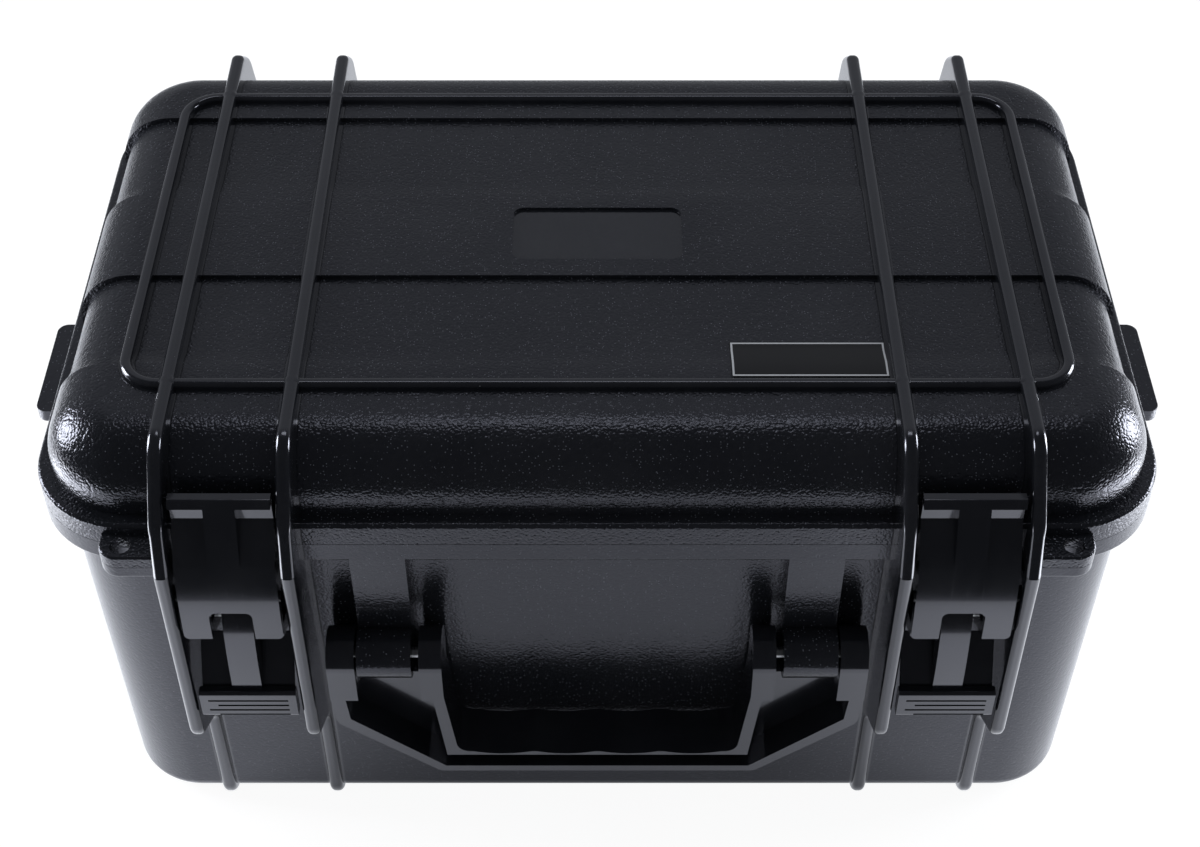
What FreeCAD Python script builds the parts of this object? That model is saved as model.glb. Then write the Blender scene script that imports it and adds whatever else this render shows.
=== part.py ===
import FreeCAD, Part
import math
import os
import types

import Sketcher

# Moulded instrument case: a deep base and a shallow lid that meet at a flange, hinged along the
# back, held by two pull latches at the front and carried by a folding handle.
# Frame: X to the right, Y to the back, Z up. The origin is on the ground, under the middle of the case.
# All lengths are millimetres.

LENGTHS = {
    # Overall reach of the case
    "overall_half_depth": 137.6,
    "parting_height": 166.5,
    "rib_top_height": 209.0,
    # Moulded shells
    "wall_half_x": 194.3,
    "wall_half_y": 115.6,
    "wall_corner_radius": 30.4,
    "base_inset": 2.0,
    "shell_wall": 4.2,
    "floor_height": 3.0,
    "floor_thickness": 4.0,
    "bottom_edge_radius": 8.0,
    "lid_top_height": 205.0,
    "lid_top_thickness": 4.6,
    "lid_edge_radius": 22.0,
    "lid_gap": 0.2,
    "flange_overhang": 5.7,
    "base_flange_height": 9.0,
    "lid_flange_height": 9.5,
    "flange_edge_radius": 1.6,
    # Ribs that run round both shells and stand out at the front as latch guards
    "rib_outer_x": 150.0,
    "rib_inner_x": 106.4,
    "rib_width": 5.3,
    "rib_rise": 3.0,
    "rib_edge_radius": 2.2,
    "skid_corner_radius": 11.0,
    "guard_foot_y": 137.6,
    "guard_foot_height": 76.2,
    "guard_foot_radius": 9.0,
    "guard_return_height": 60.5,
    "guard_shoulder_y": 131.7,
    "guard_shoulder_height": 185.5,
    "guard_bend_radius": 14.0,
    "guard_crown_y": 111.8,
    "fin_crown_y": 113.0,
    "fin_shoulder_y": 125.8,
    "fin_shoulder_height": 199.4,
    "fin_bend_radius": 8.0,
    "fin_crown_radius": 5.0,
    "fin_shoulder_radius": 13.0,
    "fin_foot_height": 171.5,
    # Rounded frame on top of the lid
    "frame_half_x": 166.5,
    "frame_front_y": 81.4,
    "frame_rear_y": 86.8,
    "frame_corner_radius": 13.0,
    "frame_width": 4.4,
    "frame_rise": 2.9,
    "frame_edge_radius": 1.9,
    # Two shallow bands across the lid, each with one sharp edge and one soft edge
    "band_depth": 1.8,
    "band_ramp": 8.0,
    "rear_band_step_y": 74.7,
    "rear_band_fade_y": 26.2,
    "front_band_step_y": 22.3,
    "front_band_fade_y": 69.8,
    # Recess in the middle of the lid and the adhesive plate near its front
    "recess_half_x": 32.0,
    "recess_rear_y": 17.3,
    "recess_front_y": 12.8,
    "recess_radius": 4.0,
    "recess_depth": 1.2,
    "plate_left_x": 47.3,
    "plate_right_x": 102.8,
    "plate_front_y": 77.1,
    "plate_rear_y": 57.4,
    "plate_thickness": 0.4,
    "plate_glue": 0.12,
    # Tongue on the base, groove and seal in the lid
    "groove_width": 3.4,
    "groove_depth": 3.2,
    "tongue_width": 1.6,
    "tongue_height": 1.2,
    "seal_clearance": 0.1,
    # Hinge
    "hinge_pin_radius": 2.0,
    "hinge_ear_radius": 8.0,
    "hinge_knuckle_radius": 5.6,
    "hinge_side_gap": 0.4,
    "hinge_web_drop": 34.0,
    "pin_clearance": 0.05,
    # Padlock tabs beside the outer guards, lift tabs at the ends
    "padlock_tab_x": 172.6,
    "padlock_tab_y": 132.0,
    "padlock_tab_thickness": 5.0,
    "padlock_tab_radius": 7.0,
    "padlock_hole_x": 164.8,
    "padlock_hole_y": 126.2,
    "padlock_hole_radius": 3.7,
    "padlock_tab_edge": 1.0,
    "padlock_tab_fit": 0.06,
    "lift_tab_reach": 210.4,
    "lift_tab_rear_y": 4.3,
    "lift_tab_front_y": 52.6,
    "lift_tab_thickness": 5.0,
    "lift_tab_radius": 4.0,
    "lift_tab_drop": 2.5,
    # Latches
    "latch_pin_y": 124.9,
    "latch_pin_height": 143.0,
    "latch_pin_radius": 2.0,
    "link_drop": 9.0,
    "link_pin_radius": 1.5,
    "link_pin_inset": 0.6,
    "lever_knuckle_radius": 4.2,
    "lever_arm_width": 10.8,
    "lever_arm_top_y": 131.0,
    "lever_arm_bend_y": 134.6,
    "lever_arm_bend_height": 119.0,
    "lever_arm_bend_radius": 150.0,
    "lever_arm_front_y": 135.6,
    "lever_arm_back_y": 121.2,
    "lever_arm_heel_y": 130.6,
    "lever_tab_width": 35.4,
    "lever_tab_top_height": 102.8,
    "lever_tab_bottom_height": 89.2,
    "lever_tab_front_y": 137.6,
    "lever_tab_back_y": 133.2,
    "lever_tab_radius": 1.5,
    "grip_slot_height": 0.9,
    "grip_slot_depth": 1.2,
    "grip_slot_length": 29.4,
    "grip_slot_stagger": 3.4,
    "grip_slot_first": 4.3,
    "grip_slot_pitch": 2.7,
    "hook_width": 35.0,
    "hook_front_y": 139.0,
    "hook_plate_thickness": 2.4,
    "hook_bottom_height": 136.4,
    "hook_back_lean": 2.6,
    "hook_bend_y": 137.6,
    "hook_bend_height": 163.4,
    "hook_top_height": 193.5,
    "hook_top_y": 125.6,
    "hook_back_y": 121.9,
    "hook_block_height": 152.5,
    "hook_bend_radius": 140.0,
    "hook_top_radius": 1.6,
    "hook_notch_width": 15.2,
    "hook_notch_height": 12.8,
    "hook_notch_radius": 2.5,
    "hook_corner_radius": 2.0,
    "hook_window_height": 7.0,
    "hook_window_floor_y": 124.2,
    "hook_window_inset": 5.5,
    "hook_window_drop": 3.0,
    "hook_slope_y": 136.8,
    "hook_slope_height": 165.5,
    # Handle and the lugs that carry it
    "handle_pin_y": 126.0,
    "handle_pin_height": 112.5,
    "handle_pin_radius": 2.0,
    "handle_pin_inset": 1.0,
    "lug_x": 77.55,
    "lug_width": 19.7,
    "lug_boss_radius": 9.3,
    "lug_neck_height": 131.5,
    "lug_neck_radius": 12.0,
    "lug_foot_drop": 16.0,
    "lug_side_gap": 0.7,
    "lug_inner_gap": 2.9,
    "eye_radius": 10.0,
    "inner_eye_width": 8.3,
    "outer_eye_width": 10.2,
    "handle_depth": 20.0,
    "handle_web_top_height": 98.5,
    "handle_knee_x": 97.0,
    "handle_knee_height": 83.0,
    "handle_knee_radius": 6.0,
    "handle_foot_x": 60.0,
    "handle_foot_radius": 4.0,
    "grip_bottom_height": 52.5,
    "grip_top_height": 65.0,
    "grip_inner_x": 52.6,
    "grip_corner_radius": 5.0,
    "handle_outer_rim": 5.2,
    "handle_inner_rim": 4.4,
    "grip_top_rim": 2.2,
    "grip_bottom_rim": 3.2,
    "handle_recess_depth": 12.0,
    "scallop_pitch": 24.0,
    "scallop_width": 22.0,
    "scallop_radius": 44.0,
    # Foam
    "foam_clearance": 0.5,
    "foam_pad_thickness": 12.0,
    "foam_top_drop": 5.0,
    "foam_slot_width": 40.0,
    "foam_slot_length": 178.0,
    "foam_slot_pitch": 60.0,
    "foam_rail_run": 12.0,
    "foam_rail_drop": 2.5,
    "lid_foam_thickness": 26.0,
    # Every cut runs past the face that it opens by this much
    "overrun": 2.0,
}

# Plain ratios and counts
SHARES = {
    "wall_lean_share": 0.015,
    "boss_neck_share": 0.62,
    "knuckle_web_share": 0.7,
}
SLOT_COUNT = 6
SCALLOP_COUNT = 4
GRIP_SLOT_COUNT = 4

doc = FreeCAD.newDocument("case")
sheet = doc.addObject("Spreadsheet::Sheet", "sizes")
for row, (alias, number) in enumerate({**LENGTHS, **SHARES}.items(), start=1):
    sheet.set(f"A{row}", alias)
    sheet.set(f"B{row}", str(number))
    sheet.setAlias(f"B{row}", alias)
doc.recompute()


class Size:
    """A size that carries its value and the sheet expression that gives it."""

    def __init__(self, value, text):
        self.value = value
        self.text = text

    def join(self, other, sign, value):
        return Size(value, f"({self.text} {sign} {other.text})")

    def __add__(self, other):
        return self.join(other, "+", self.value + other.value)

    def __sub__(self, other):
        return self.join(other, "-", self.value - other.value)

    def __mul__(self, other):
        other = other if isinstance(other, Size) else Size(other, repr(other))
        return self.join(other, "*", self.value * other.value)

    __rmul__ = __mul__

    def __truediv__(self, number):
        return Size(self.value / number, f"({self.text} / {number})")

    def __neg__(self):
        return Size(-self.value, f"(-1 * {self.text})")


size = types.SimpleNamespace(
    **{alias: Size(sheet.get(alias), f"sizes.{alias}") for alias in {**LENGTHS, **SHARES}}
)
zero = Size(0.0, "0")
SIDES = {"left": -1, "right": 1}
NEAR = 1e-3 * size.overall_half_depth.value


def origin_plane(body, role):
    for feature in body.Origin.OriginFeatures:
        if feature.Role == role:
            return feature
    raise ValueError(role)


def new_body(label):
    body = doc.addObject("PartDesign::Body", label)
    body.Label = label
    return body


def new_sketch(body, name, role, level=zero):
    """A sketch on one of the body's own planes, moved along that plane's normal to a level."""
    sketch = body.newObject("Sketcher::SketchObject", name)
    sketch.AttachmentSupport = [(origin_plane(body, role), "")]
    sketch.MapMode = "FlatFace"
    sketch.AttachmentOffset = FreeCAD.Placement(FreeCAD.Vector(0, 0, level.value), FreeCAD.Rotation())
    sketch.setExpression("AttachmentOffset.Base.z", level.text)
    return sketch


def constrain(sketch, kind, *items):
    return sketch.addConstraint(Sketcher.Constraint(kind, *items))


def tie(sketch, kind, length, *items):
    index = constrain(sketch, kind, *items, length.value)
    sketch.setExpression(f"Constraints[{index}]", length.text)


def tie_point(sketch, geometry, point, across, up):
    """Hold a point of the sketch at two sizes from the sketch's origin."""
    if across.value == 0:
        constrain(sketch, "PointOnObject", geometry, point, -2)
    else:
        tie(sketch, "DistanceX", across, -1, 1, geometry, point)
    if up.value == 0:
        constrain(sketch, "PointOnObject", geometry, point, -1)
    else:
        tie(sketch, "DistanceY", up, -1, 1, geometry, point)


def draw_circle(sketch, across, up, radius):
    centre = FreeCAD.Vector(across.value, up.value, 0)
    circle = sketch.addGeometry(Part.Circle(centre, FreeCAD.Vector(0, 0, 1), radius.value), False)
    tie_point(sketch, circle, 3, across, up)
    tie(sketch, "Radius", radius, circle)


def draw_outline(sketch, corners):
    """A closed outline, anticlockwise. A corner is (across, up) or, rounded, (across, up, radius)."""
    spots = [FreeCAD.Vector(corner[0].value, corner[1].value, 0) for corner in corners]
    count = len(corners)
    runs = [(spots[(i + 1) % count] - spots[i]).normalize() for i in range(count)]
    turns = [runs[i - 1].getAngle(runs[i]) for i in range(count)]
    trims = [
        corner[2].value * math.tan(turn / 2) if len(corner) > 2 else 0.0
        for corner, turn in zip(corners, turns)
    ]
    lines = []
    for i in range(count):
        start = spots[i] + runs[i] * trims[i]
        end = spots[(i + 1) % count] - runs[i] * trims[(i + 1) % count]
        lines.append(sketch.addGeometry(Part.LineSegment(start, end), False))
    for i, corner in enumerate(corners):
        arriving, leaving = lines[i - 1], lines[i]
        if len(corner) == 2:
            constrain(sketch, "Coincident", arriving, 2, leaving, 1)
            tie_point(sketch, leaving, 1, corner[0], corner[1])
            continue
        radius = corner[2]
        left_turn = runs[i - 1].cross(runs[i]).z > 0
        side = FreeCAD.Vector(-runs[i - 1].y, runs[i - 1].x, 0) * (1 if left_turn else -1)
        tangent_point = spots[i] - runs[i - 1] * trims[i]
        centre = tangent_point + side * radius.value
        first = tangent_point if left_turn else spots[i] + runs[i] * trims[i]
        start_angle = math.atan2(first.y - centre.y, first.x - centre.x)
        circle = Part.Circle(centre, FreeCAD.Vector(0, 0, 1), radius.value)
        arc = sketch.addGeometry(Part.ArcOfCircle(circle, start_angle, start_angle + turns[i]), False)
        point = sketch.addGeometry(Part.Point(spots[i]), True)
        constrain(sketch, "Tangent", arriving, 2, arc, 1 if left_turn else 2)
        constrain(sketch, "Tangent", arc, 2 if left_turn else 1, leaving, 1)
        constrain(sketch, "PointOnObject", point, 1, arriving)
        constrain(sketch, "PointOnObject", point, 1, leaving)
        tie_point(sketch, point, 1, corner[0], corner[1])
        tie(sketch, "Radius", radius, arc)


def outline(body, name, role, corners, level=zero):
    sketch = new_sketch(body, name, role, level)
    draw_outline(sketch, corners)
    return sketch


def rectangle(left, right, low, high, radius=None):
    corners = [(left, low), (right, low), (right, high), (left, high)]
    return [corner + (radius,) for corner in corners] if radius else corners


def centred_rectangle(half_x, half_y, radius=None):
    return rectangle(-half_x, half_x, -half_y, half_y, radius)


def settle(feature):
    """Recompute, and stop at once if the new feature failed."""
    doc.recompute()
    if "Invalid" in feature.State or not feature.Shape.isValid():
        raise RuntimeError(f"{feature.Label}: {feature.getStatusString()}")
    return feature


def extrude(kind, body, sketch, length, back, both):
    feature = body.newObject(kind, sketch.Name + "_run")
    feature.Profile = sketch
    feature.Reversed = back
    feature.SideType = "Symmetric" if both else "One side"
    feature.setExpression("Length", length.text)
    return settle(feature)


def pad(body, sketch, length, back=False, both=False):
    return extrude("PartDesign::Pad", body, sketch, length, back, both)


def pocket(body, sketch, length, back=False, both=False):
    before = body.Shape.Volume
    feature = extrude("PartDesign::Pocket", body, sketch, length, back, both)
    if body.Shape.Volume >= before:
        raise RuntimeError(f"{sketch.Label} cuts nothing")
    return feature


def edges_where(shape, test):
    return [f"Edge{i + 1}" for i, edge in enumerate(shape.Edges) if test(edge)]


def faces_where(shape, test):
    return [f"Face{i + 1}" for i, face in enumerate(shape.Faces) if test(face)]


def round_edges(body, name, radius, test):
    base = body.Tip
    feature = body.newObject("PartDesign::Fillet", name)
    feature.Base = (base, edges_where(base.Shape, test))
    feature.setExpression("Radius", radius.text)
    return settle(feature)


def is_upright(edge):
    return abs(edge.tangentAt(edge.FirstParameter).z) > math.cos(math.radians(10))


def is_level_at(edge, height):
    box = edge.BoundBox
    return abs(box.ZMin - height.value) < NEAR and abs(box.ZMax - height.value) < NEAR


def lean_faces(body, name, test, neutral_test, inward):
    """Give upright faces the mould's draft, turning about a flat face that stays as it is."""
    base = body.Tip
    feature = body.newObject("PartDesign::Draft", name)
    feature.Base = (base, faces_where(base.Shape, test))
    feature.NeutralPlane = (base, faces_where(base.Shape, neutral_test))
    feature.setExpression("Angle", f"atan({size.wall_lean_share.text})")
    feature.Reversed = inward
    return settle(feature)


# Places that several pieces share
lid_bottom = size.parting_height + size.lid_gap
flange_half_x = size.wall_half_x + size.flange_overhang
flange_half_y = size.wall_half_y + size.flange_overhang
flange_corner = size.wall_corner_radius + size.flange_overhang
base_half_x = size.wall_half_x - size.base_inset
base_half_y = size.wall_half_y - size.base_inset
base_corner = size.wall_corner_radius - size.base_inset
floor_top = size.floor_height + size.floor_thickness
inner_bottom_radius = size.bottom_edge_radius - size.floor_thickness
lid_ceiling = size.lid_top_height - size.lid_top_thickness
inner_lid_radius = size.lid_edge_radius - size.lid_top_thickness
flange_underside = size.parting_height - size.base_flange_height
lid_flange_top = lid_bottom + size.lid_flange_height
hinge_y = size.overall_half_depth - size.hinge_ear_radius
hinge_height = size.parting_height
bay_x = (size.rib_outer_x + size.rib_inner_x) / 2
bay_width = size.rib_outer_x - size.rib_inner_x - size.rib_width
rib_places = [
    (f"{side}_{name}", sign * place)
    for side, sign in SIDES.items()
    for name, place in (("outer", size.rib_outer_x), ("inner", size.rib_inner_x))
]


def wall_y_at(height):
    """Half depth of the base wall at a height, with the mould's draft."""
    return base_half_y - (size.parting_height - height) * size.wall_lean_share


def shell_block(body, half_x, half_y, corner, level, end_height, end_radius):
    """A drafted block from the parting level to its far end, with that end's rim rounded."""
    down = end_height.value < level.value
    height = level - end_height if down else end_height - level
    sketch = outline(body, "wall", "XY_Plane", centred_rectangle(half_x, half_y), level)
    pad(body, sketch, height, back=down)
    lean_faces(
        body,
        "wall_draft",
        lambda face: abs(face.normalAt(0, 0).z) < 0.5,
        lambda face: face.BoundBox.ZLength < NEAR and abs(face.BoundBox.ZMin - level.value) < NEAR,
        True,
    )
    round_edges(body, "wall_corners", corner, is_upright)
    round_edges(body, "wall_rim", end_radius, lambda edge: is_level_at(edge, end_height))


def hollow(body, half_x, half_y, corner, level, end_height, end_radius):
    """Cut the inside out of a shell with a core that has the same draft as the outside."""
    core = new_body(f"{body.Label}_core")
    wall = size.shell_wall
    shell_block(core, half_x - wall, half_y - wall, corner - wall, level, end_height, end_radius)
    before = body.Shape.Volume
    cut = body.newObject("PartDesign::Boolean", "hollow")
    cut.setObjects([core])
    cut.Type = "Cut"
    settle(cut)
    if body.Shape.Volume >= before:
        raise RuntimeError(f"{body.Label} is not hollow")


def flange(body, level, height, down):
    corners = centred_rectangle(flange_half_x, flange_half_y, flange_corner)
    sketch = outline(body, "flange", "XY_Plane", corners, level)
    pad(body, sketch, height, back=down)
    far = level - height if down else level + height
    half = size.flange_overhang.value / 2

    def on_rim(edge):
        if hasattr(edge.Curve, "Radius"):
            outside = edge.Curve.Radius > flange_corner.value - half
        else:
            middle = edge.valueAt((edge.FirstParameter + edge.LastParameter) / 2)
            outside = abs(middle.x) > flange_half_x.value - half or abs(middle.y) > flange_half_y.value - half
        return outside and is_level_at(edge, far)

    round_edges(body, "flange_rim", size.flange_edge_radius, on_rim)


def ring(body, name, level, centre_offset, width, height, cut=False, back=False):
    """A closed band that follows the flange, for the tongue, the groove and the seal."""
    sketch = new_sketch(body, name, "XY_Plane", level)
    for offset in (centre_offset + width / 2, centre_offset - width / 2):
        draw_outline(
            sketch,
            centred_rectangle(
                size.wall_half_x + offset, size.wall_half_y + offset, size.wall_corner_radius + offset
            ),
        )
    if cut:
        return pocket(body, sketch, height, back=back)
    return pad(body, sketch, height, back=back)


seal_offset = (size.flange_overhang - size.shell_wall) / 2


def make_padlock_tab(label, sign, level, back):
    """A drilled ear between an outer guard and the rim of a flange; a shackle goes through two of them."""
    body = new_body(label)
    guard_face = size.rib_outer_x + size.rib_width / 2 + size.padlock_tab_fit
    inner, outer = sign * guard_face, sign * size.padlock_tab_x
    root = -(flange_half_y - size.flange_overhang)
    tip = -size.padlock_tab_y
    left, right = (inner, outer) if sign > 0 else (outer, inner)
    corners = rectangle(left, right, tip, root)
    rounded = 1 if sign > 0 else 0
    corners[rounded] = corners[rounded] + (size.padlock_tab_radius,)
    ear = outline(body, "ear", "XY_Plane", corners, level)
    draw_circle(ear, sign * size.padlock_hole_x, -size.padlock_hole_y, size.padlock_hole_radius)
    pad(body, ear, size.padlock_tab_thickness, back=back)
    rim = new_body(f"{label}_rim")
    fit = size.padlock_tab_fit
    corners = centred_rectangle(flange_half_x + fit, flange_half_y + fit, flange_corner + fit)
    block = outline(rim, "block", "XY_Plane", corners, level)
    pad(rim, block, 2 * (size.padlock_tab_thickness + size.overrun), both=True)
    cut = body.newObject("PartDesign::Boolean", "stop_at_rim")
    cut.setObjects([rim])
    cut.Type = "Cut"
    settle(cut)
    far = level - size.padlock_tab_thickness if back else level + size.padlock_tab_thickness
    free_x = size.padlock_tab_x.value - size.padlock_tab_radius.value
    free_y = size.padlock_tab_y.value - size.padlock_tab_radius.value

    def free_edge(edge):
        middle = edge.valueAt((edge.FirstParameter + edge.LastParameter) / 2)
        at_front = abs(middle.y + size.padlock_tab_y.value) < NEAR
        at_side = abs(abs(middle.x) - size.padlock_tab_x.value) < NEAR
        in_corner = abs(middle.x) > free_x and -middle.y > free_y
        at_rim = at_front or at_side or in_corner
        return not edge.isClosed() and is_level_at(edge, far) and at_rim

    round_edges(body, "ear_edges", size.padlock_tab_edge, free_edge)
    return body


def round_rib_edges(body, name, keep):
    """Round the long outer edges of the ribs, on both faces of each."""
    faces = [place.value + half * size.rib_width.value / 2 for _, place in rib_places for half in (-1, 1)]

    def on_rib_edge(edge):
        box = edge.BoundBox
        on_face = any(abs(box.XMin - x) < NEAR and abs(box.XMax - x) < NEAR for x in faces)
        return on_face and keep(edge)

    round_edges(body, name, size.rib_edge_radius, on_rib_edge)


def drill(body, name, places, reach):
    """Round holes along X, each (start x, y, height, radius), of one length."""
    for index, (start, across, up, radius) in enumerate(places):
        sketch = new_sketch(body, f"{name}_{index}", "YZ_Plane", start)
        draw_circle(sketch, across, up, radius)
        pocket(body, sketch, reach, back=True)


def make_base_shell():
    body = new_body("base_shell")
    walls = (base_half_x, base_half_y, base_corner, size.parting_height)
    shell_block(body, *walls, size.floor_height, size.bottom_edge_radius)
    flange(body, size.parting_height, size.base_flange_height, True)

    # Ribs: a guard at the front, then down the wall, under the floor as a skid and up the back.
    rib_front_y = wall_y_at(size.guard_return_height) + size.rib_rise
    rib_low_y = wall_y_at(zero) + size.rib_rise
    rib_rear_y = wall_y_at(flange_underside) + size.rib_rise
    mid_wall = base_half_y - size.shell_wall / 2
    for name, place in rib_places:
        corners = [
            (-size.overall_half_depth, size.parting_height),
            (-size.guard_foot_y, size.guard_foot_height, size.guard_foot_radius),
            (-rib_front_y, size.guard_return_height, size.guard_foot_radius),
            (-rib_low_y, zero, size.skid_corner_radius),
            (rib_low_y, zero, size.skid_corner_radius),
            (rib_rear_y, flange_underside),
            (mid_wall, flange_underside),
            (mid_wall, size.parting_height),
        ]
        pad(body, outline(body, f"{name}_rib", "YZ_Plane", corners, place), size.rib_width, both=True)

    def rib_outer(edge):
        """True for an edge that stands out of the wall or the floor, not one that meets it."""
        middle = edge.valueAt((edge.FirstParameter + edge.LastParameter) / 2)
        radius = size.bottom_edge_radius.value
        beyond = abs(middle.y) - wall_y_at(Size(middle.z, "0")).value
        below = size.floor_height.value - middle.z
        if beyond > -radius and below > -radius:
            proud = math.hypot(beyond + radius, below + radius) - radius
        else:
            proud = max(beyond, below)
        clear_of_flange = middle.z < flange_underside.value - NEAR
        clear_of_flange = clear_of_flange or abs(middle.y) > flange_half_y.value + NEAR
        level = is_level_at(edge, size.parting_height)
        return proud > size.rib_rise.value / 2 and clear_of_flange and not level

    round_rib_edges(body, "rib_edges", rib_outer)

    # Lugs for the handle hang from the flange.
    lug_root = wall_y_at(zero) - size.shell_wall / 2
    neck_y = size.handle_pin_y - size.boss_neck_share * size.lug_boss_radius
    for side, sign in SIDES.items():
        place = sign * size.lug_x
        corners = [
            (-neck_y, size.handle_pin_height - size.lug_boss_radius * size.boss_neck_share),
            (-lug_root, size.handle_pin_height - size.lug_foot_drop),
            (-lug_root, size.parting_height - size.overrun),
            (-flange_half_y, size.parting_height - size.overrun),
            (-flange_half_y, flange_underside),
            (-neck_y, size.lug_neck_height, size.lug_neck_radius),
        ]
        pad(body, outline(body, f"{side}_lug", "YZ_Plane", corners, place), size.lug_width, both=True)
        boss = new_sketch(body, f"{side}_lug_boss", "YZ_Plane", place)
        draw_circle(boss, -size.handle_pin_y, size.handle_pin_height, size.lug_boss_radius)
        pad(body, boss, size.lug_width, both=True)

    # Hinge knuckles stand behind the flange, between the lid's ears.
    knuckle_length = bay_width - 2 * size.hinge_side_gap
    for side, sign in SIDES.items():
        place = sign * bay_x
        web_y = hinge_y + size.knuckle_web_share * size.hinge_knuckle_radius
        corners = [
            (mid_wall, hinge_height - size.hinge_web_drop),
            (web_y, hinge_height - size.knuckle_web_share * size.hinge_knuckle_radius),
            (hinge_y, hinge_height),
            (mid_wall, hinge_height),
        ]
        pad(body, outline(body, f"{side}_hinge_web", "YZ_Plane", corners, place), knuckle_length, both=True)
        knuckle = new_sketch(body, f"{side}_knuckle", "YZ_Plane", place)
        draw_circle(knuckle, hinge_y, hinge_height, size.hinge_knuckle_radius)
        pad(body, knuckle, knuckle_length, both=True)

    for side, sign in SIDES.items():
        inner, outer = sign * size.wall_half_x, sign * size.lift_tab_reach
        left, right = (inner, outer) if sign > 0 else (outer, inner)
        corners = rectangle(left, right, -size.lift_tab_front_y, -size.lift_tab_rear_y)
        for index in (1, 2) if sign > 0 else (0, 3):
            corners[index] = corners[index] + (size.lift_tab_radius,)
        level = size.parting_height - size.lift_tab_drop
        tab = outline(body, f"{side}_lift_tab", "XY_Plane", corners, level)
        pad(body, tab, size.lift_tab_thickness, back=True)

    hollow(body, *walls, floor_top, inner_bottom_radius)
    ring(body, "tongue", size.parting_height, seal_offset, size.tongue_width, size.tongue_height)

    # Holes for the hinge pins, the latch pins and the handle pins.
    knuckle_hole = size.hinge_pin_radius + size.pin_clearance
    latch_hole = size.latch_pin_radius + size.pin_clearance
    handle_hole = size.handle_pin_radius + size.pin_clearance
    bay_reach = bay_width + 2 * size.rib_width + 2 * size.overrun
    starts = [sign * bay_x - bay_reach / 2 for sign in SIDES.values()]
    drill(body, "hinge_hole", [(start, hinge_y, hinge_height, knuckle_hole) for start in starts], bay_reach)
    drill(
        body,
        "latch_hole",
        [(start, -size.latch_pin_y, size.latch_pin_height, latch_hole) for start in starts],
        bay_reach,
    )
    lug_reach = size.lug_width + 2 * size.overrun
    drill(
        body,
        "handle_hole",
        [
            (sign * size.lug_x - lug_reach / 2, -size.handle_pin_y, size.handle_pin_height, handle_hole)
            for sign in SIDES.values()
        ],
        lug_reach,
    )
    return body


def lid_section(depth):
    """The space outside the lid, seen from the front, down to a depth below its surface."""
    rise = size.lid_top_height - lid_bottom
    low_x = size.wall_half_x - depth
    high_x = size.wall_half_x - rise * size.wall_lean_share - depth
    top = size.lid_top_height - depth
    radius = size.lid_edge_radius - depth
    reach_x = size.wall_half_x + size.overrun
    reach_top = size.lid_top_height + size.overrun
    return [
        (low_x, lid_bottom),
        (reach_x, lid_bottom),
        (reach_x, reach_top),
        (-reach_x, reach_top),
        (-reach_x, lid_bottom),
        (-low_x, lid_bottom),
        (-high_x, top, radius),
        (high_x, top, radius),
    ]


def cut_band(body, name, step_y, ramp_y, fade_y):
    """One shallow band across the lid: full depth from its step to its ramp, then fading out."""
    before = body.Shape.Volume
    whole, none = size.band_depth, -size.seal_clearance
    sections = [
        outline(body, f"{name}_{place}", "XZ_Plane", lid_section(depth), -level)
        for place, depth, level in (("step", whole, step_y), ("ramp", whole, ramp_y), ("fade", none, fade_y))
    ]
    loft = body.newObject("PartDesign::SubtractiveLoft", name)
    loft.Profile = sections[0]
    loft.Sections = sections[1:]
    loft.Ruled = True
    settle(loft)
    if body.Shape.Volume >= before:
        raise RuntimeError(f"{name} cuts nothing")


rear_ramp_y = size.rear_band_fade_y + size.band_ramp
front_ramp_y = size.front_band_fade_y - size.band_ramp


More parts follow.
